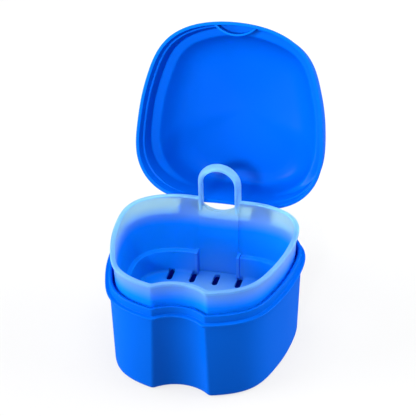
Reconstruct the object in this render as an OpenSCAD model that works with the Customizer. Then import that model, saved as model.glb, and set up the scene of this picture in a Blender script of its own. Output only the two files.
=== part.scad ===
// Denture case: an open hinged box with a lift-out draining basket.
// Millimetres, +Z up, front toward -Y, origin at the middle of the underside.
// Drawn at rest: lid open on its stop, basket seated on the ribs of the tub.

/* [Which piece] */
// piece to draw

/* [Outline] */
// radii of the tub's rim seen from above, every 15 degrees from the front to the back
base_r = [45, 45.2, 46.1, 46.5, 44.7, 43.4, 43.9, 46.2, 49, 48.4, 45, 41.1, 39.1]; // mm, 13 of 35 to 55
// radii of the lid's rim, which bulges a little further out at the front
lid_r = [47.1, 47.7, 48.7, 48.2, 45.6, 43.9, 44, 46.3, 49, 48.7, 45.1, 40.9, 39.2]; // mm, 13 of 35 to 55
// centre of the round cleft in the front
cleft_y = -54.1; // [-60:0.1:-50]
// radius of the cleft at the rim
cleft_r = 15.1; // [10:0.1:18]

/* [Heights] */
// underside of the rim flange
flange_z = 39.4; // [30:0.1:50]
// thickness of the rim flange
flange_t = 1.1; // [0.8:0.1:2]
// top of the neck inside the flange
neck_z = 44.2; // [42:0.1:48]
// top of the basket's lip
lip_z = 55.6; // [50:0.1:56]
// basket floor, top face
floor_z = 17; // [10:0.1:20]
// ledge inside the basket
step_z = 27.7; // [24:0.1:32]
// rim of the closed lid, just above the flange
lid_z = 40.6; // [40:0.1:42]

/* [Hinge] */
// hinge axis, distance behind the middle
hinge_y = 44.67; // [43:0.01:46]
// hinge axis, height
hinge_z = 41.49; // [40:0.01:43]
// angle of the open lid
open_deg = 107.46; // [90:0.01:115]
// radius of the hinge pins
pin_r = 1.25; // [1:0.05:1.5]
// radial clearance of the knuckle on its pin
run_gap = 0.05; // [0.01:0.01:0.1]
// middle of each hinge, left and right of the middle
hinge_x = 17.5; // [12:0.5:24]

/* [Handle] */
// half width of the loop, outside
loop_w = 9.3; // [8:0.1:12]
// thickness of its strap
loop_t = 1.6; // [1:0.1:3]
// top of the loop at its front edge
loop_top = 73.1; // [65:0.1:74]
// front face of the strap
loop_y0 = 33.1; // [30:0.1:34]
// back face of the strap
loop_y1 = 36.6; // [35:0.1:37]
// outward lean of the strap toward the back
flare = 1.1; // [0:0.1:1.5]

/* [Thumb pocket] */
// depth of the pocket inside the front of the lid
pocket_h = 6.6; // [4:0.1:12]
// radius of its inside
pocket_r = 12.7; // [10:0.1:14]

/* [Drain slots] */
// width of each slot
slot_w = 2.8; // [1.5:0.1:4]
// length of each slot between its round ends
slot_l = 6.2; // [3:0.1:10]
// distance between neighbours
slot_gap = 11; // [8:0.5:14]

/* [Hidden] */
nc = 5;            // steps on half of the cleft
nf = 5;            // steps round the corner beside it
nb = 37;           // steps from that corner to the back
$fn = 48;

// ---- outline: a smooth closed curve through the radii ----
function last(t) = len(t) - 1;
function coef(t, k) = let (m = last(t)) (2 / m) * (t[0] / 2 + t[m] * cos(180 * k) / 2
    + adds([for (j = [1 : m - 1]) t[j] * cos(180 * j * k / m)]));
function adds(v, i = 0) = i >= len(v) ? 0 : v[i] + adds(v, i + 1);
function coefs(t) = let (m = last(t)) [for (k = [0 : m]) coef(t, k) * ((k == 0 || k == m) ? 0.5 : 1)];
base_c = coefs(base_r);
lid_c = coefs(lid_r);
function rad(c, a) = adds([for (k = [0 : len(c) - 1]) c[k] * cos(k * a)]);
function drad(c, a) = -adds([for (k = [0 : len(c) - 1]) k * c[k] * sin(k * a)]);
function unit(v) = v / norm(v);
function nrm(c, a) = let (r = rad(c, a), q = drad(c, a))
    unit([-q * cos(a) + r * sin(a), -q * sin(a) - r * cos(a)]);
// point of the curve at angle a, moved inward by d
function at(c, a, d) = rad(c, a) * [sin(a), -cos(a)] - d * nrm(c, a);

// lower front of the tub leans forward a little: w is 1 at the front, 0 behind
function ahead(a) = pow((1 + cos(a)) / 2, 3);
function body(a, d, lean) = at(base_c, a, d - 1.7 * lean * ahead(a));
function c0(lean) = [0, cleft_y + 0.4 * lean];
function cr(d, lean) = cleft_r - lean + d;

// angle where a circle of radius f fits between the cleft and the outline
function corner(d, f, lean, lo = 6, hi = 50, n = 26) = let (m = (lo + hi) / 2)
    n == 0 ? m :
    norm(body(m, d + f, lean) - c0(lean)) < cr(d, lean) + f
        ? corner(d, f, lean, m, hi, n - 1) : corner(d, f, lean, lo, m, n - 1);
function polar(v) = atan2(v[1], v[0]);
function half_ring(d, f, lean) = let (
        a1 = corner(d, f, lean), F = body(a1, d + f, lean), C = c0(lean), R = cr(d, lean),
        t1 = atan2(F[0] - C[0], F[1] - C[1]), u0 = polar(C - F), u1 = polar(body(a1, d, lean) - F))
    concat(
        [for (i = [0 : nc - 1]) C + R * [sin(t1 * i / nc), cos(t1 * i / nc)]],
        [for (i = [0 : nf - 1]) let (u = u0 + (u1 - u0) * i / nf) F + f * [cos(u), sin(u)]],
        [for (i = [0 : nb]) body(a1 + (180 - a1) * i / nb, d, lean)]);
function mirror_ring(h) = concat(h, [for (i = [len(h) - 2 : -1 : 1]) [-h[i][0], h[i][1]]]);
// ring of the tub or basket: inward offset d, height z, corner radius f
function ring(d, z, f, lean = 0) = [for (p = mirror_ring(half_ring(d, f, lean))) [p[0], p[1], z]];
function soft(d) = 1.8 + 0.3 * max(0, d - 2.5);
function tub_ring(d, z) = ring(d, z, soft(d), max(0, 1 - z / flange_z));
function cup_ring(d, z) = ring(d, z, soft(d));

// ring of the closed lid: s = [offset, height over the rim] at the sides and front,
// b = the same at the back; the outline goes from the rim's to the tub's as it rises
function smooth(x) = let (t = min(1, max(0, x))) t * t * (3 - 2 * t);
function lid_ring(s, b, k = 1) = let (n = 2 * (nc + nf + nb), t = min(1, max(0, s[1] / 17)),
        c = lid_c + (base_c - lid_c) * t)
    [for (i = [0 : n - 1]) let (a = 360 * i / n, h = a > 180 ? 360 - a : a,
        u = min(1, max(0, (s[1] - 17) / 13)), w = smooth((h - 118 + 18 * u) / (44 + 28 * u)),
        d = s[0] + (b[0] - s[0]) * w, p = at(c, a, min(d, 8)) * k * (1 - max(0, d - 8) / 36))
        [p[0], p[1], lid_z + s[1] + (b[1] - s[1]) * w]];

// closed skin over a stack of rings, each end closed by a fan; turn = true when
// the stack starts on top
module loft(rings, z0, z1, turn = false) {
    n = len(rings[0]);
    m = len(rings);
    pts = concat([for (r = rings) for (p = r) p], [[0, 0, z0], [0, 0, z1]]);
    sides = [for (j = [0 : m - 2]) for (i = [0 : n - 1]) let (a = j * n + i, b = j * n + (i + 1) % n)
        each [[a, a + n, b], [b, a + n, b + n]]];
    low = [for (i = [0 : n - 1]) [m * n, i, (i + 1) % n]];
    top = [for (i = [0 : n - 1]) [m * n + 1, (m - 1) * n + (i + 1) % n, (m - 1) * n + i]];
    all = concat(sides, low, top);
    polyhedron(pts, turn ? [for (f = all) [f[2], f[1], f[0]]] : all, convexity = 8);
}

// plate drawn in the Y-Z plane, x0 to x1
module side_plate(x0, x1, pts) {
    translate([x0, 0, 0]) rotate([90, 0, 90]) linear_extrude(x1 - x0) polygon(pts);
}
module x_rod(x0, x1, r, y, z) {
    translate([x0, y, z]) rotate([0, 90, 0]) cylinder(r = r, h = x1 - x0);
}
module both() { children(); mirror([1, 0, 0]) children(); }

// ---- tub ----
module ear(x0, x1) {
    difference() {
        union() {
            x_rod(x0, x1, 3.2, hinge_y, hinge_z);
            side_plate(x0, x1, [[36, 25.6], [37.2, 25.6], [47.1, 39.3], [50.4, 43], [50.4, 44.5],
                [44.7, 44.5], [41.6, 41], [41.6, 39.2], [36.5, 39.2]]);
        }
        x_rod(x0 - 1, x1 + 1, pin_r, hinge_y, hinge_z);
    }
}
module rest_rib(a) {
    // a thin upright rib that holds the basket by its step
    p = at(base_c, a, 3.8);
    n = nrm(base_c, a);
    translate([p[0], p[1], 3.2]) rotate([0, 0, polar(-n)]) translate([0, -0.9, 0]) cube([3.4, 1.8, 23.1]);
}
module tub() color([0, 0.4, 1]) {
    loft([
        tub_ring(5.7, 0), tub_ring(4.7, 0.3), tub_ring(3.95, 1.1), tub_ring(3.6, 2.4),
        tub_ring(1.82, flange_z), tub_ring(0.25, flange_z), tub_ring(0, flange_z + 0.3),
        tub_ring(0, flange_z + flange_t - 0.3), tub_ring(0.25, flange_z + flange_t),
        tub_ring(1.82, flange_z + flange_t), tub_ring(1.85, neck_z - 0.4), tub_ring(2.2, neck_z),
        tub_ring(2.95, neck_z), tub_ring(3.3, neck_z - 0.4), tub_ring(3.45, flange_z),
        tub_ring(5.2, 5), tub_ring(5.7, 3), tub_ring(7.4, 2)], 0, 2);
    both() {
        ear(hinge_x - 4.5, hinge_x - 2.5);
        ear(hinge_x + 2.5, hinge_x + 4.5);
        rest_rib(40);
        rest_rib(88);
        rest_rib(138);
    }
}

// ---- lid, drawn closed and then opened about the hinge ----
module lid_shell() {
    loft([
        lid_ring([23.3, 37.2], [7.4, 38.5], 0.5), lid_ring([23.3, 34.8], [7.4, 39.4]),
        lid_ring([18.8, 33.5], [2.4, 38.6]), lid_ring([14.1, 31.2], [0.7, 36.6]),
        lid_ring([10.3, 27.9], [0.4, 33.6]), lid_ring([7.7, 23.6], [0.35, 30]),
        lid_ring([6.35, 20.4], [0.35, 26.5]), lid_ring([5.4, 19.6], [0.35, 23.5]),
        lid_ring([2.1, 18.8], [0.35, 20]), lid_ring([1.5, 17], [0.35, 17]),
        lid_ring([0.7, 7], [0.4, 7]), lid_ring([0.5, 2], [0.4, 2]), lid_ring([0, 1.6], [0, 1.6]),
        lid_ring([0, 0.2], [0, 0.2]), lid_ring([0.2, 0], [0.2, 0]),
        lid_ring([1.6, 0], [1.6, 0]), lid_ring([1.6, 6.6], [1.6, 6.6]),
        lid_ring([2.5, 6.9], [1.65, 6.9]), lid_ring([2.6, 17.2], [1.75, 17.2]),
        lid_ring([3, 17.9], [1.75, 20]), lid_ring([6.5, 18.3], [1.75, 23.5]),
        lid_ring([7.1, 19.2], [1.75, 26.5]), lid_ring([8.7, 22.9], [1.75, 30]),
        lid_ring([11.2, 27], [1.8, 33]), lid_ring([14.8, 30.2], [2.1, 35.4]),
        lid_ring([19.2, 32.3], [3.4, 37.1]), lid_ring([23.6, 33.5], [8, 37.9]),
        lid_ring([23.6, 35.7], [8, 37], 0.5)], lid_z + 38.2, lid_z + 36.6, true);
}
module pocket() {
    // curved wall behind the front of the lid, with a roof
    intersection() {
        translate([0, cleft_y, lid_z]) difference() {
            translate([0, 0, 0.2]) cylinder(r = pocket_r + 0.9, h = pocket_h - 0.2);
            translate([0, 0, -1]) cylinder(r = pocket_r, h = pocket_h - 0.1);
        }
        loft([lid_ring([0.9, 0], [0.9, 0]), lid_ring([1.9, 17], [1.9, 17])], lid_z, lid_z + 17);
        translate([-12, -50, lid_z]) cube([24, 14, 20]);
    }
}
module knuckle() {
    difference() {
        union() {
            x_rod(hinge_x - 2.2, hinge_x + 2.2, 3, hinge_y, hinge_z);
            side_plate(hinge_x - 2.2, hinge_x + 2.2, [[38.6, 41], [hinge_y, 41], [hinge_y, 44.45],
                [43, 44.6], [38.6, 47.6]]);
        }
        x_rod(hinge_x - 3, hinge_x + 3, pin_r + run_gap, hinge_y, hinge_z);
    }
}
module lid() color([0, 0.38, 0.95])
    translate([0, hinge_y, hinge_z]) rotate([-open_deg, 0, 0]) translate([0, -hinge_y, -hinge_z]) {
        lid_shell();
        pocket();
        both() knuckle();
    }

// ---- basket with its finger loop ----
module loop() {
    // an arch that leans outward toward the back
    intersection() {
        translate([0, loop_y0, loop_top - loop_w]) rotate([90, 0, 0]) mirror([0, 0, 1])
            linear_extrude(height = loop_y1 - loop_y0, scale = (loop_w + flare) / loop_w)
                arch(loop_w, loop_w, 20);
        translate([-20, loop_y0 - 1, 50]) cube([40, loop_y1 - loop_y0 + 2, 40]);
    }
}
module arch(w, top, down) {
    translate([0, top - w]) circle(r = w, $fn = 72);
    translate([-w, top - w - down]) square([2 * w, down]);
}
module slot(x, y) {
    translate([x - slot_w / 2, y - slot_l / 2, floor_z - 4]) cube([slot_w, slot_l, 5.2]);
    for (e = [-1, 1]) translate([x, y + e * slot_l / 2, floor_z - 4]) cylinder(d = slot_w, h = 5.2);
}
module basket() color([0.78, 0.87, 0.95]) difference() {
    union() {
        loft([
            cup_ring(10.4, 15.6), cup_ring(9.2, 15.9), cup_ring(8.5, 16.9), cup_ring(7.9, 26.1),
            cup_ring(7.6, 26.4), cup_ring(5.6, 26.4), cup_ring(5.3, 26.8), cup_ring(3.95, lip_z - 1.7),
            cup_ring(3.15, lip_z - 1.6), cup_ring(2.9, lip_z - 1.3), cup_ring(2.9, lip_z - 0.4),
            cup_ring(3.3, lip_z), cup_ring(4.75, lip_z), cup_ring(5.12, lip_z - 0.4),
            cup_ring(5.2, lip_z - 1.8), cup_ring(6.6, step_z + 0.4), cup_ring(6.9, step_z),
            cup_ring(8.9, step_z), cup_ring(9.2, step_z - 0.3), cup_ring(9.7, floor_z + 1.4),
            cup_ring(10.1, floor_z + 0.4), cup_ring(11.1, floor_z)], 15.6, floor_z);
        loop();
        // flat panel below the loop, down to the floor
        side_plate(-10.6, 10.6, [[28, 15.6], [33.6, 15.6], [34, 27], [34, 29], [28, 29]]);
        side_plate(-9.4, 9.4, [[32.6, 26], [33.4, 51], [33.4, 53], [36, 53], [36, 48], [34, 27]]);
    }
    // channel in front of the panel
    side_plate(-9.4, 9.4, [[20, floor_z], [32.3, floor_z], [32.6, 27.7], [32.9, 40], [20, 40]]);
    // hole for a finger
    intersection() {
        translate([0, 50, 0]) rotate([90, 0, 0]) linear_extrude(height = 30) arch(loop_w - loop_t, loop_top - loop_t, 20);
        translate([0, 50, 62]) rotate([90, 0, 0]) cylinder(r = 12.2, h = 30, $fn = 96);
    }
    for (i = [-2 : 2]) {
        slot(i * slot_gap, 25.9);
        slot(i * slot_gap, -14);
    }
}

// ---- hinge pins, pressed into the ears ----
module pin() x_rod(hinge_x - 4.5, hinge_x + 4.5, pin_r, hinge_y, hinge_z);
module hinge_pin_right() color([0, 0.36, 0.9]) pin();
module hinge_pin_left() color([0, 0.36, 0.9]) mirror([1, 0, 0]) pin();

tub();
lid();
basket();
hinge_pin_left();
hinge_pin_right();
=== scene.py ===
import math

import bmesh
import bpy
import numpy as np
from mathutils import Matrix, Vector


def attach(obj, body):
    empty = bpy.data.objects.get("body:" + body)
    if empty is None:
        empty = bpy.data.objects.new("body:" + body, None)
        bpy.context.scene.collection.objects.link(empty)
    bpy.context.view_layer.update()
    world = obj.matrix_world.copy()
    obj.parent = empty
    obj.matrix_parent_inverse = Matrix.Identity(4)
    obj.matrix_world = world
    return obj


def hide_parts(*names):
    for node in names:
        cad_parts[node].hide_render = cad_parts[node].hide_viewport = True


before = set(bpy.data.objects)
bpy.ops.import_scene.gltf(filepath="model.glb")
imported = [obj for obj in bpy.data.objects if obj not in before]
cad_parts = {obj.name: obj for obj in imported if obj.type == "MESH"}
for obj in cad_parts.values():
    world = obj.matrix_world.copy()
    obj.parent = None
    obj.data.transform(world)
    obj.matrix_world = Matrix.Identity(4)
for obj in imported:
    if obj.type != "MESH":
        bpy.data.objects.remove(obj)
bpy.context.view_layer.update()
MM = 0.001

# ------------------------------------------------------------------ outline
# The same outline and heights as the CAD part, in millimetres.
BASE_R = [45, 45.2, 46.1, 46.5, 44.7, 43.4, 43.9, 46.2, 49, 48.4, 45, 41.1, 39.1]
LID_R = [47.1, 47.7, 48.7, 48.2, 45.6, 43.9, 44, 46.3, 49, 48.7, 45.1, 40.9, 39.2]
CLEFT_Y, CLEFT_R = -54.1, 15.1
FLANGE_Z, FLANGE_T, NECK_Z = 39.4, 1.1, 44.2
LIP_Z, FLOOR_Z, STEP_Z, LID_Z = 55.6, 17.0, 27.7, 40.6
HINGE_Y, HINGE_Z, OPEN = 44.67, 41.49, math.radians(107.46)
HINGE_X, PIN_R = 17.5, 1.25
LOOP_W, LOOP_T, LOOP_TOP, LOOP_Y0, LOOP_Y1, FLARE = 9.3, 1.6, 73.1, 33.1, 36.6, 1.1
SLOT_W, SLOT_L, SLOT_GAP = 2.8, 6.2, 11.0


def series(radii):
    m = len(radii) - 1
    out = []
    for k in range(m + 1):
        v = radii[0] / 2 + radii[m] * math.cos(math.pi * k) / 2
        v += sum(radii[j] * math.cos(math.pi * j * k / m) for j in range(1, m))
        out.append(v * 2 / m * (0.5 if k in (0, m) else 1))
    return out


BASE_C, LID_C = series(BASE_R), series(LID_R)


def outline(c, a, d):
    """Points of the curve at angles a (from the front, toward +X), moved inward by d."""
    a = np.asarray(a, float)
    r = sum(v * np.cos(k * a) for k, v in enumerate(c))
    q = -sum(k * v * np.sin(k * a) for k, v in enumerate(c))
    n = np.stack([-q * np.cos(a) + r * np.sin(a), -q * np.sin(a) - r * np.cos(a)], -1)
    n /= np.linalg.norm(n, axis=-1, keepdims=True)
    d = np.broadcast_to(np.asarray(d, float), a.shape)
    return r[..., None] * np.stack([np.sin(a), -np.cos(a)], -1) - d[..., None] * n


def body(a, d, lean):
    return outline(BASE_C, a, d - 1.7 * lean * ((1 + np.cos(a)) / 2) ** 3)


NC, NF, NB = 16, 12, 108


def ring(d, z, f, lean=0.0):
    """Closed ring with the round cleft in front: inward offset d, corner radius f."""
    c = np.array([0.0, CLEFT_Y + 0.4 * lean])
    r = CLEFT_R - lean + d
    lo, hi = math.radians(6), math.radians(50)
    for _ in range(44):
        m = (lo + hi) / 2
        if np.linalg.norm(body(np.array(m), d + f, lean) - c) < r + f:
            lo = m
        else:
            hi = m
    a1 = (lo + hi) / 2
    centre = body(np.array(a1), d + f, lean)
    t1 = math.atan2(centre[0] - c[0], centre[1] - c[1])
    u0 = math.atan2(*(c - centre)[::-1])
    u1 = math.atan2(*(body(np.array(a1), d, lean) - centre)[::-1])
    t = t1 * np.arange(NC) / NC
    u = u0 + (u1 - u0) * np.arange(NF) / NF
    half = np.concatenate([
        c + r * np.stack([np.sin(t), np.cos(t)], -1),
        centre + f * np.stack([np.cos(u), np.sin(u)], -1),
        body(a1 + (math.pi - a1) * np.arange(NB + 1) / NB, d, lean),
    ])
    full = np.concatenate([half, half[-2:0:-1] * [-1, 1]])
    return np.column_stack([full, np.full(len(full), z)])


def soft(d):
    return 1.8 + 0.3 * max(0.0, d - 2.5)


def rounded(points, seg=5):
    """Profile points (offset, height, radius) with each corner replaced by an arc."""
    out = []
    for i, (x, z, r) in enumerate(points):
        p = np.array([x, z], float)
        if r <= 0 or i in (0, len(points) - 1):
            out.append(tuple(p))
            continue
        a, b = np.array(points[i - 1][:2]) - p, np.array(points[i + 1][:2]) - p
        la, lb = np.linalg.norm(a), np.linalg.norm(b)
        a, b = a / la, b / lb
        ang = math.acos(max(-1, min(1, float(a @ b))))
        t = min(r / math.tan(ang / 2), 0.48 * la, 0.48 * lb)
        rr = t * math.tan(ang / 2)
        c = p + (a + b) / np.linalg.norm(a + b) * rr / math.sin(ang / 2)
        s, e = p + a * t - c, p + b * t - c
        w = math.acos(max(-1, min(1, float(s @ e) / rr / rr)))
        for j in range(seg + 1):
            k = j / seg
            v = (s * math.sin((1 - k) * w) + e * math.sin(k * w)) / math.sin(w)
            out.append(tuple(c + v))
    return out


def eased(rows, times=2):
    """Corner cutting: rows of numbers to a smooth curve that keeps inside their corners."""
    p = np.array(rows, float)
    for _ in range(times):
        q = np.empty((2 * len(p) - 2, p.shape[1]))
        q[0::2] = 0.75 * p[:-1] + 0.25 * p[1:]
        q[1::2] = 0.25 * p[:-1] + 0.75 * p[1:]
        p = np.vstack([p[:1], q, p[-1:]])
    return p


# ------------------------------------------------------------------ mesh helpers
def add_object(name, verts, faces):
    me = bpy.data.meshes.new(name)
    me.from_pydata([tuple(v) for v in np.asarray(verts, float) * MM], [], faces)
    me.validate()
    o = bpy.data.objects.new(name, me)
    bpy.context.scene.collection.objects.link(o)
    bm = bmesh.new()
    bm.from_mesh(me)
    bmesh.ops.recalc_face_normals(bm, faces=bm.faces)
    bm.to_mesh(me)
    bm.free()
    return o


def shade(o, angle=38):
    me = o.data
    me.shade_smooth()
    me.set_sharp_from_angle(angle=math.radians(angle))


def loft(name, rings, first, last_):
    """Closed skin over a stack of rings, each end closed at a point."""
    n, m = len(rings[0]), len(rings)
    verts = np.concatenate(list(rings) + [np.array([first, last_], float)])
    faces = []
    for j in range(m - 1):
        for i in range(n):
            k = (i + 1) % n
            faces.append((j * n + i, j * n + k, (j + 1) * n + k, (j + 1) * n + i))
    for i in range(n):
        k = (i + 1) % n
        faces.append((m * n, k, i))
        faces.append((m * n + 1, (m - 1) * n + i, (m - 1) * n + k))
    return add_object(name, verts, faces)


def applied(o):
    """The object with its modifiers worked into the mesh."""
    bpy.context.view_layer.update()
    dg = bpy.context.evaluated_depsgraph_get()
    me = bpy.data.meshes.new_from_object(o.evaluated_get(dg))
    o.modifiers.clear()
    o.data = me
    return o


def boolean(o, other, op):
    m = o.modifiers.new("b", "BOOLEAN")
    m.operation, m.object, m.solver = op, other, "EXACT"
    applied(o)
    bpy.data.objects.remove(other)
    return o


def bevel(o, width, seg=3, angle=35):
    m = o.modifiers.new("bev", "BEVEL")
    m.width, m.segments, m.limit_method = width * MM, seg, "ANGLE"
    m.angle_limit = math.radians(angle)
    m.harden_normals = False
    return applied(o)


def prism(name, pts, lo, hi, axis):
    """Straight prism over a closed outline; axis x takes (y, z) points, y takes (x, z)."""
    n = len(pts)
    if axis == "x":
        rows = [[(lo, p[0], p[1]) for p in pts], [(hi, p[0], p[1]) for p in pts]]
    elif axis == "y":
        rows = [[(p[0], lo, p[1]) for p in pts], [(p[0], hi, p[1]) for p in pts]]
    else:
        rows = [[(p[0], p[1], lo) for p in pts], [(p[0], p[1], hi) for p in pts]]
    faces = [(i, (i + 1) % n, n + (i + 1) % n, n + i) for i in range(n)]
    faces += [tuple(range(n))[::-1], tuple(range(n, 2 * n))]
    return add_object(name, rows[0] + rows[1], faces)


def arc(cx, cy, r, a0, a1, n):
    return [(cx + r * math.cos(math.radians(a0 + (a1 - a0) * i / n)),
             cy + r * math.sin(math.radians(a0 + (a1 - a0) * i / n))) for i in range(n + 1)]


def join(objs, name):
    bm = bmesh.new()
    for o in objs:
        me = o.data.copy()
        me.transform(o.matrix_world)
        bm.from_mesh(me)
    me = bpy.data.meshes.new(name)
    bm.to_mesh(me)
    bm.free()
    for o in objs:
        bpy.data.objects.remove(o)
    out = bpy.data.objects.new(name, me)
    bpy.context.scene.collection.objects.link(out)
    return out


def mirrored(o):
    c = o.copy()
    c.data = o.data.copy()
    c.data.transform(Matrix.Scale(-1, 4, (1, 0, 0)))
    c.data.flip_normals()
    bpy.context.scene.collection.objects.link(c)
    return c


# ------------------------------------------------------------------ tub
def tub_ring(d, z):
    return ring(d, z, soft(d), max(0.0, 1 - z / FLANGE_Z))


tub_profile = rounded([
    (14, 0, 0), (3.7, 0, 2.4), (1.82, FLANGE_Z, 0.35), (0, FLANGE_Z, 0.4),
    (0, FLANGE_Z + FLANGE_T, 0.4), (1.82, FLANGE_Z + FLANGE_T, 0.3), (1.86, NECK_Z, 0.5),
    (3.3, NECK_Z, 0.5), (3.45, FLANGE_Z, 0), (5.3, 2, 2.0), (14, 2, 0)], 6)
tub = loft("tub_shell", [tub_ring(d, z) for d, z in tub_profile], (0, 0, 0), (0, 0, 2))

ear_outline = ([(36, 25.6), (37.2, 25.6), (47.0, 39.2), (50.4, 43), (50.4, 44.45)]
               + arc(HINGE_Y, HINGE_Z, 3.2, 71, 195, 22) + [(41.6, 39.2), (36.5, 39.2)])
ears = []
for x in (HINGE_X - 4.5, HINGE_X + 2.5):
    e = bevel(prism("ear", ear_outline, x, x + 2, "x"), 0.3)
    ears += [e, mirrored(e)]
ribs = []
for deg in (40, 88, 138):
    a = np.array(math.radians(deg))
    p = outline(BASE_C, a, 3.8)
    q = outline(BASE_C, a, 7.2)
    t = (q - p) / np.linalg.norm(q - p)
    s = np.array([-t[1], t[0]]) * 0.9
    r = bevel(prism("rib", [p - s, q - s, q + s, p + s], 3.2, 26.3, "z"), 0.25, 2)
    ribs += [r, mirrored(r)]
tub = join([tub] + ears + ribs, "tub_moulding")
shade(tub)

# ------------------------------------------------------------------ lid
NL = 2 * (NC + NF + NB)
LID_A = 2 * math.pi * np.arange(NL) / NL
HALF_A = np.where(LID_A > math.pi, 2 * math.pi - LID_A, LID_A)


def opened(p):
    """Closed-lid coordinates to the open rest pose."""
    p = np.asarray(p, float)
    y, z = p[..., 1] - HINGE_Y, p[..., 2] - HINGE_Z
    c, s = math.cos(OPEN), math.sin(OPEN)
    return np.stack([p[..., 0], HINGE_Y + y * c + z * s, HINGE_Z - y * s + z * c], -1)


def lid_ring(row, k=1.0):
    """row = offset and height over the rim at the sides and front, then at the back."""
    t = min(1.0, max(0.0, row[1] / 17))
    c = [a + (b - a) * t for a, b in zip(LID_C, BASE_C)]
    u = min(1.0, max(0.0, (row[1] - 17) / 13))
    w = np.clip((np.degrees(HALF_A) - 118 + 18 * u) / (44 + 28 * u), 0, 1)
    w = w * w * (3 - 2 * w)
    d = row[0] + (row[2] - row[0]) * w
    h = row[1] + (row[3] - row[1]) * w
    q = k * (1 - np.maximum(0, d - 8) / 36)
    return np.column_stack([outline(c, LID_A, np.minimum(d, 8)) * q[:, None], LID_Z + h])


def in_wall(x, y, z, d=1.3):
    """y moved back, where needed, to stay within the front wall of the closed lid."""
    t = (z - LID_Z) / 17
    c = [a + (b - a) * t for a, b in zip(LID_C, BASE_C)]
    for _ in range(3):
        y = max(y, float(outline(c, np.array(math.atan2(x, -y)), d)[1]))
    return y


def crown(row, apex, k):
    """The middle of the dome, flattening toward its top."""
    e = k * k * (1.3 - 0.3 * k)
    return lid_ring((row[0], apex + (row[1] - apex) * e, row[2], apex + (row[3] - apex) * e), k)


outside = [(23.3, 34.8, 7.4, 39.4), (18.8, 33.5, 2.4, 38.6), (14.1, 31.2, 0.7, 36.6),
           (10.3, 27.9, 0.4, 33.6), (7.7, 23.6, 0.35, 30), (6.35, 20.4, 0.35, 26.5),
           (5.2, 19.5, 0.35, 23.5), (3.1, 19.2, 0.35, 21), (2.0, 18.4, 0.35, 19.5),
           (1.5, 16.5, 0.35, 17), (0.7, 7, 0.4, 7), (0.55, 2.4, 0.4, 2.4), (0.45, 1.85, 0.35, 1.85),
           (0, 1.7, 0, 1.7), (0, 1.0, 0, 1.0), (0, 0.3, 0, 0.3), (0.1, 0, 0.1, 0)]
inside = [(0.1, 0, 0.1, 0), (0.8, 0, 0.8, 0), (1.5, 0, 1.5, 0), (1.6, 0.35, 1.6, 0.35),
          (1.6, 6.3, 1.6, 6.3), (1.65, 6.7, 1.65, 6.7), (2.4, 6.8, 1.65, 6.9), (2.5, 7.2, 1.65, 7.3),
          (2.6, 16.9, 1.75, 17), (2.65, 17.6, 1.75, 18.3), (3.2, 17.95, 1.75, 20), (6.4, 18.3, 1.75, 23.3),
          (7.1, 19.1, 1.75, 26), (8.7, 22.9, 1.75, 30), (11.2, 27, 1.8, 33), (14.8, 30.2, 2.1, 35.4),
          (19.2, 32.3, 3.4, 37.1), (23.6, 33.5, 8, 37.9)]
KS = (0.1, 0.22, 0.35, 0.48, 0.62, 0.76, 0.89)
lid_rings = [crown(outside[0], 38.2, k) for k in KS]
lid_rings += [lid_ring(r) for r in eased(outside)[:-1]]
lid_rings += [lid_ring(r) for r in eased(inside)]
lid_rings += [crown(inside[-1], 36.6, k) for k in KS[::-1]]
shell = loft("lid_shell", [opened(r) for r in lid_rings],
             opened((0, 0, LID_Z + 38.2)), opened((0, 0, LID_Z + 36.6)))

# curved wall of the thumb pocket behind the front of the lid
wall = rounded([(12.7, 44, 0), (12.7, LID_Z + 0.2, 0.3), (13.6, LID_Z + 0.2, 0.3),
                (13.6, 47.2, 0.4), (12.7, 47.2, 0), (12.7, 44, 0)], 4)[:-1]
NW = 40
verts, faces = [], []
for j in range(NW + 1):
    t = math.radians(-46 + 92 * j / NW)
    for r, z in wall:
        x, y = r * math.sin(t), CLEFT_Y + r * math.cos(t)
        verts.append((x, in_wall(x, y, max(z, LID_Z)), z))
n = len(wall)
for j in range(NW):
    for i in range(n):
        k = (i + 1) % n
        faces.append((j * n + i, j * n + k, (j + 1) * n + k, (j + 1) * n + i))
faces += [tuple(range(n))[::-1], tuple(range(NW * n, NW * n + n))]
pocket_wall = add_object("pocket_wall", opened(verts), faces)
roof_pts = [(13.2 * math.sin(math.radians(t)), CLEFT_Y + 13.2 * math.cos(math.radians(t)))
            for t in range(-40, 41, 5)]
roof_pts += [(x, in_wall(x, -50.0, 47.1)) for x in (8.4, 5.6, 2.8, 0.0, -2.8, -5.6, -8.4)]
roof = prism("pocket_roof", roof_pts, 46.0, 47.1, "z")
roof.data.transform(Matrix.Scale(1 / MM, 4))
co = np.array([v.co for v in roof.data.vertices])
for v, q in zip(roof.data.vertices, opened(co)):
    v.co = q * MM

knuckle_outline = (arc(HINGE_Y, HINGE_Z, 3.0, -170, 90, 40)
                   + [(43, 44.6), (38.6, 47.6), (38.6, 41)])
k1 = bevel(prism("knuckle", knuckle_outline, HINGE_X - 2.2, HINGE_X + 2.2, "x"), 0.3)
for v in k1.data.vertices:
    v.co = opened(np.array(v.co) / MM) * MM
lid = join([shell, pocket_wall, roof, k1, mirrored(k1)], "lid_moulding")
shade(lid)

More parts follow.
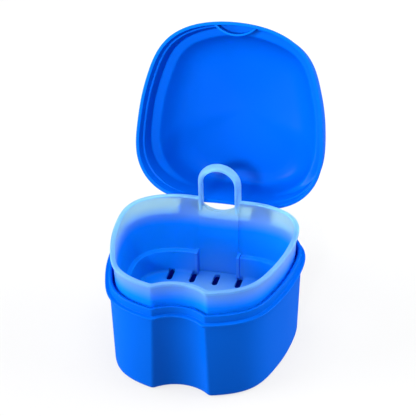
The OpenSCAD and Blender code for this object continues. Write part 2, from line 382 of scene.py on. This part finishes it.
# ------------------------------------------------------------------ basket
cup_profile = rounded([
    (16, 15.6, 0), (8.5, 15.6, 1.4), (7.85, 26.4, 0.4), (5.4, 26.4, 0.5), (4.45, 44.5, 0), (3.95, LIP_Z - 1.6, 0.2),
    (2.9, LIP_Z - 1.6, 0.4), (2.9, LIP_Z, 0.5), (5.12, LIP_Z, 0.6), (5.73, 44.5, 0), (6.65, STEP_Z, 0.6),
    (9.1, STEP_Z, 0.6), (9.75, FLOOR_Z, 1.5), (16, FLOOR_Z, 0)], 5)
basket = loft("basket_shell", [ring(d, z, soft(d)) for d, z in cup_profile],
              (0, 0, 15.6), (0, 0, FLOOR_Z))


def arch_path(w, top, foot, n=40):
    """Half-round arch over two legs, as an open path from the left foot to the right."""
    zc = top - w
    return [(-w, foot)] + [(-w * math.cos(math.pi * i / n), zc + w * math.sin(math.pi * i / n))
                           for i in range(n + 1)] + [(w, foot)]


def strap():
    """The loop: an arch whose outside leans outward toward the back, with rounded edges."""
    rows = []
    for y, e in ((LOOP_Y0, 0.4), (LOOP_Y0 + 0.12, 0.15), (LOOP_Y0 + 0.4, 0.0),
                 (LOOP_Y0 + 2.1, 0.0), (LOOP_Y1 - 0.4, 0.0), (LOOP_Y1 - 0.12, 0.15), (LOOP_Y1, 0.4)):
        k = FLARE * (y - LOOP_Y0) / (LOOP_Y1 - LOOP_Y0)
        outer = arch_path(LOOP_W + k - e, LOOP_TOP + k - e, 50)
        inner = arch_path(LOOP_W - LOOP_T + e, LOOP_TOP - LOOP_T + e, 50)
        rows.append([(x, y, z) for x, z in outer + inner[::-1]])
    n, m = len(rows[0]), len(rows)
    faces = [(j * n + i, j * n + (i + 1) % n, (j + 1) * n + (i + 1) % n, (j + 1) * n + i)
             for j in range(m - 1) for i in range(n)]
    faces += [tuple(range(n))[::-1], tuple(range((m - 1) * n, m * n))]
    return add_object("loop", [v for r in rows for v in r], faces)


boolean(basket, strap(), "UNION")
boolean(basket, prism("p1", [(28, 15.6), (33.6, 15.6), (34, 27), (34, 29), (28, 29)], -10.6, 10.6, "x"), "UNION")
boolean(basket, prism("p2", [(32.6, 26), (33.4, 51), (33.4, 53), (36, 53), (36, 48), (34, 27)], -9.4, 9.4, "x"), "UNION")
boolean(basket, prism("c1", [(20, FLOOR_Z), (32.3, FLOOR_Z), (32.6, 27.7), (32.9, 40), (20, 40)], -9.4, 9.4, "x"), "DIFFERENCE")
hw, ht = LOOP_W - LOOP_T, LOOP_TOP - LOOP_T
a0 = math.degrees(math.asin(hw / 12.2))
hole = arch_path(hw, ht, 62 - math.sqrt(12.2 ** 2 - hw ** 2), 40)
hole += arc(0, 62, 12.2, -90 + a0, -90 - a0, 16)[1:-1]
boolean(basket, prism("hole", hole, 20, 50, "y"), "DIFFERENCE")
for i in range(-2, 3):
    for y in (25.9, -14.0):
        pts = arc(i * SLOT_GAP, y + SLOT_L / 2, SLOT_W / 2, 0, 180, 14)
        pts += arc(i * SLOT_GAP, y - SLOT_L / 2, SLOT_W / 2, 180, 360, 14)
        boolean(basket, prism("slot", pts, FLOOR_Z - 4, FLOOR_Z + 1.2, "z"), "DIFFERENCE")
basket.name = basket.data.name = "basket_moulding"
shade(basket, 32)


# ------------------------------------------------------------------ pins
def pin(name, sign):
    x0, x1 = sign * HINGE_X - 4.66, sign * HINGE_X + 4.66
    prof = [(x0, 0), (x0, 0.95), (x0 + 0.1, 1.15), (x0 + 0.3, PIN_R), (x1 - 0.3, PIN_R),
            (x1 - 0.1, 1.15), (x1, 0.95), (x1, 0)]
    nn = 32
    vs = [(x, HINGE_Y + r * math.cos(2 * math.pi * i / nn), HINGE_Z + r * math.sin(2 * math.pi * i / nn))
          for x, r in prof[1:-1] for i in range(nn)]
    fs = [(j * nn + i, j * nn + (i + 1) % nn, (j + 1) * nn + (i + 1) % nn, (j + 1) * nn + i)
          for j in range(len(prof) - 3) for i in range(nn)]
    fs += [tuple(range(nn))[::-1], tuple(range((len(prof) - 3) * nn, (len(prof) - 2) * nn))]
    o = add_object(name, vs, fs)
    shade(o)
    return o


pin_r, pin_l = pin("pin_right", 1), pin("pin_left", -1)


# ------------------------------------------------------------------ materials
def nodes_of(name):
    m = bpy.data.materials.new(name)
    m.use_nodes = True
    nt = m.node_tree
    return m, nt, nt.nodes["Principled BSDF"]


def noise(nt, scale, detail, rough=0.5):
    tc = nt.nodes.get("tc") or nt.nodes.new("ShaderNodeTexCoord")
    tc.name = "tc"
    n = nt.nodes.new("ShaderNodeTexNoise")
    n.inputs["Scale"].default_value = scale
    n.inputs["Detail"].default_value = detail
    n.inputs["Roughness"].default_value = rough
    nt.links.new(tc.outputs["Object"], n.inputs["Vector"])
    return n


def spread(nt, source, lo, hi):
    r = nt.nodes.new("ShaderNodeMapRange")
    r.inputs["From Min"].default_value = 0.3
    r.inputs["From Max"].default_value = 0.7
    r.inputs["To Min"].default_value = lo
    r.inputs["To Max"].default_value = hi
    nt.links.new(source, r.inputs["Value"])
    return r.outputs["Result"]


def painted_glow_by_height(nt, p, low, z0, z1, slope=0.0, clear_low=None):
    """Painted light: under the height z0 the wall takes the tint low (and, with clear_low, a lower transmission),
    easing to its own colour at z1. This stands in for the light of the lit blue tub shining through the wall; with
    a slope the change sits higher on the front wall than at the back."""
    own = p.inputs["Base Color"].links[0].from_socket
    xyz = nt.nodes.new("ShaderNodeSeparateXYZ")
    nt.links.new(nt.nodes["tc"].outputs["Object"], xyz.inputs["Vector"])
    r = nt.nodes.new("ShaderNodeMapRange")
    r.interpolation_type = "SMOOTHSTEP"
    r.inputs["From Min"].default_value = z0 * MM
    r.inputs["From Max"].default_value = z1 * MM
    up = nt.nodes.new("ShaderNodeMath")
    up.operation = "MULTIPLY_ADD"
    nt.links.new(xyz.outputs["Y"], up.inputs[0])
    up.inputs[1].default_value = slope
    nt.links.new(xyz.outputs["Z"], up.inputs[2])
    nt.links.new(up.outputs["Value"], r.inputs["Value"])
    mix = nt.nodes.new("ShaderNodeMix")
    mix.data_type = "RGBA"
    nt.links.new(r.outputs["Result"], mix.inputs["Factor"])
    mix.inputs["A"].default_value = (*low, 1)
    nt.links.new(own, mix.inputs["B"])
    nt.links.new(mix.outputs["Result"], p.inputs["Base Color"])
    if clear_low is None:
        return
    through = nt.nodes.new("ShaderNodeMapRange")
    through.inputs["To Min"].default_value = clear_low
    through.inputs["To Max"].default_value = 0.86
    nt.links.new(r.outputs["Result"], through.inputs["Value"])
    nt.links.new(through.outputs["Result"], p.inputs["Transmission Weight"])


def painted_light_spot(nt, p, at, r0, r1, tint):
    """Painted pool of light: a paler tint round one place, full inside r0 and gone at r1."""
    own = p.inputs["Base Color"].links[0].from_socket
    away = nt.nodes.new("ShaderNodeVectorMath")
    away.operation = "DISTANCE"
    nt.links.new(nt.nodes["tc"].outputs["Object"], away.inputs[0])
    away.inputs[1].default_value = [v * MM for v in at]
    r = nt.nodes.new("ShaderNodeMapRange")
    r.interpolation_type = "SMOOTHSTEP"
    r.inputs["From Min"].default_value = r0 * MM
    r.inputs["From Max"].default_value = r1 * MM
    nt.links.new(away.outputs["Value"], r.inputs["Value"])
    mix = nt.nodes.new("ShaderNodeMix")
    mix.data_type = "RGBA"
    nt.links.new(r.outputs["Result"], mix.inputs["Factor"])
    mix.inputs["A"].default_value = (*tint, 1)
    nt.links.new(own, mix.inputs["B"])
    nt.links.new(mix.outputs["Result"], p.inputs["Base Color"])


def moulded(name, low, high, rough, grain=0.03):
    """Smooth moulded plastic: slow flow tint, uneven gloss and a very fine skin."""
    m, nt, p = nodes_of(name)
    flow = noise(nt, 28, 3)
    mix = nt.nodes.new("ShaderNodeMix")
    mix.data_type = "RGBA"
    nt.links.new(spread(nt, flow.outputs["Fac"], 0, 1), mix.inputs["Factor"])
    mix.inputs["A"].default_value = (*low, 1)
    mix.inputs["B"].default_value = (*high, 1)
    nt.links.new(mix.outputs["Result"], p.inputs["Base Color"])
    gloss = noise(nt, 130, 4, 0.6)
    nt.links.new(spread(nt, gloss.outputs["Fac"], rough - 0.03, rough + 0.04), p.inputs["Roughness"])
    skin = noise(nt, 2600, 3)
    b = nt.nodes.new("ShaderNodeBump")
    b.inputs["Strength"].default_value = grain
    b.inputs["Distance"].default_value = 0.0002
    nt.links.new(skin.outputs["Fac"], b.inputs["Height"])
    nt.links.new(b.outputs["Normal"], p.inputs["Normal"])
    p.inputs["IOR"].default_value = 1.49
    return m, nt, p


blue, _, pb = moulded("blue_moulded", (0.0, 0.076, 0.46), (0.0, 0.080, 0.485), 0.32)
pinm, _, pp = moulded("pin_moulded", (0.0, 0.068, 0.42), (0.0, 0.073, 0.45), 0.40)
clear, _, pc = moulded("clear_wall", (0.31, 0.56, 0.71), (0.35, 0.59, 0.74), 0.46, 0.04)
edge, _, pe = moulded("clear_edge", (0.23, 0.58, 0.86), (0.27, 0.61, 0.89), 0.45, 0.05)
# painted light: the lower basket wall is tinted deep blue and made less clear, standing in for the lit blue tub
# showing through it
painted_glow_by_height(clear.node_tree, pc, (0.0, 0.25, 0.93), 43.4, 54.4, 0.08, 0.5)
# painted light: a pale glow in the middle of the basket floor, standing in for light gathering there
painted_light_spot(clear.node_tree, pc, (0, 8, 17), 1, 32, (0.24, 0.55, 0.90))
for q in (pb, pp):
    q.inputs["Specular IOR Level"].default_value = 0.0
    q.inputs["Coat Weight"].default_value = 0.05
    q.inputs["Coat Roughness"].default_value = 0.27
    q.inputs["Coat IOR"].default_value = 1.5
pe.inputs["Transmission Weight"].default_value = 0.78
pc.inputs["IOR"].default_value, pe.inputs["IOR"].default_value = 1.15, 1.3

for o, m, node, slot, part in (
        (tub, blue, "tub", "blue_plastic", "case"), (lid, blue, "lid", "blue_plastic", "cover"),
        (basket, clear, "basket", "clear_plastic", "strainer"),
        (pin_r, pinm, "hinge_pin_right", "pin_plastic", "case"),
        (pin_l, pinm, "hinge_pin_left", "pin_plastic", "case")):
    o.data.materials.clear()
    o.data.materials.append(m)
    if o is basket:
        o.data.materials.append(edge)
        for f in o.data.polygons:
            f.material_index = 1 if f.center.z > 0.0539 else 0
    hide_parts(node)
    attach(o, part)

# ------------------------------------------------------------------ stage
# a wide round floor with a low far wall, so that low views have a plain ground too
me = bpy.data.meshes.new("floor")
turn = [2 * math.pi * i / 48 for i in range(48)]
me.from_pydata(
    [(20 * math.cos(t), 20 * math.sin(t), z) for z in (0, 3) for t in turn], [],
    [tuple(range(48))] + [(i, (i + 1) % 48, 48 + (i + 1) % 48, 48 + i) for i in range(48)])
floor = bpy.data.objects.new("floor", me)
bpy.context.scene.collection.objects.link(floor)
fm, fnt, fp = nodes_of("floor_white")
fp.inputs["Base Color"].default_value = (0.12, 0.12, 0.12, 1)
fp.inputs["Roughness"].default_value = 0.9
fp.inputs["Specular IOR Level"].default_value = 0.0
fp.inputs["Emission Color"].default_value = (1, 1, 1, 1)
fp.inputs["Emission Strength"].default_value = 0.755
me.materials.append(fm)

scene = bpy.context.scene
world = bpy.data.worlds.new("studio")
scene.world = world
world.use_nodes = True
world.node_tree.nodes["Background"].inputs["Color"].default_value = (1, 1, 1, 1)
world.node_tree.nodes["Background"].inputs["Strength"].default_value = 0.02


def area(name, loc, size, power, target=(0, 0.02, 0.05)):
    li = bpy.data.lights.new(name, "AREA")
    li.shape, li.size, li.size_y, li.energy = "RECTANGLE", size[0], size[1], power
    o = bpy.data.objects.new(name, li)
    o.location = loc
    o.rotation_euler = (Vector(target) - Vector(loc)).to_track_quat("-Z", "Y").to_euler()
    scene.collection.objects.link(o)
    return o


area("key", (-1.0, -0.44, 0.35), (0.8, 0.5), 22.5)
area("right", (0.92, 0.36, 0.50), (1.2, 0.8), 21)
area("left", (-1.03, 0.0, 0.48), (1.2, 0.8), 6)
area("top", (0.0, -0.05, 1.35), (1.1, 1.1), 23)
spot = bpy.data.lights.new("spot", "SPOT")
spot.energy, spot.spot_size, spot.spot_blend, spot.shadow_soft_size = 110, math.radians(9.5), 0.7, 0.08
spot_ob = bpy.data.objects.new("spot", spot)
spot_ob.location = (0.04, -0.99, 0.66)
spot_ob.rotation_euler = (Vector((-0.01, 0.08, 0.102)) - spot_ob.location).to_track_quat("-Z", "Y").to_euler()
scene.collection.objects.link(spot_ob)

scene.view_settings.view_transform = "Standard"
scene.view_settings.look = "None"
scene.view_settings.exposure = 0.0
scene.view_settings.gamma = 1.0

# ------------------------------------------------------------------ camera
az, el, roll = math.radians(14.63), math.radians(31.83), math.radians(-1.25)
fw = Vector((-0.21456519, 0.82204151, -0.52745572)).normalized()
right0 = fw.cross(Vector((0, 0, 1))).normalized()
up0 = right0.cross(fw).normalized()
r_ = right0 * math.cos(roll) + up0 * math.sin(roll)
u_ = up0 * math.cos(roll) - right0 * math.sin(roll)
cam_data = bpy.data.cameras.new("camera")
cam = bpy.data.objects.new("camera", cam_data)
scene.collection.objects.link(cam)
mw = Matrix((r_, u_, -fw)).transposed().to_4x4()
mw.translation = Vector((0.185026, -0.694683, 0.518667))
cam.matrix_world = mw
cam_data.sensor_width = 36
cam_data.sensor_fit = "HORIZONTAL"
cam_data.lens = 1909.91 / 416 * 36
scene.camera = cam
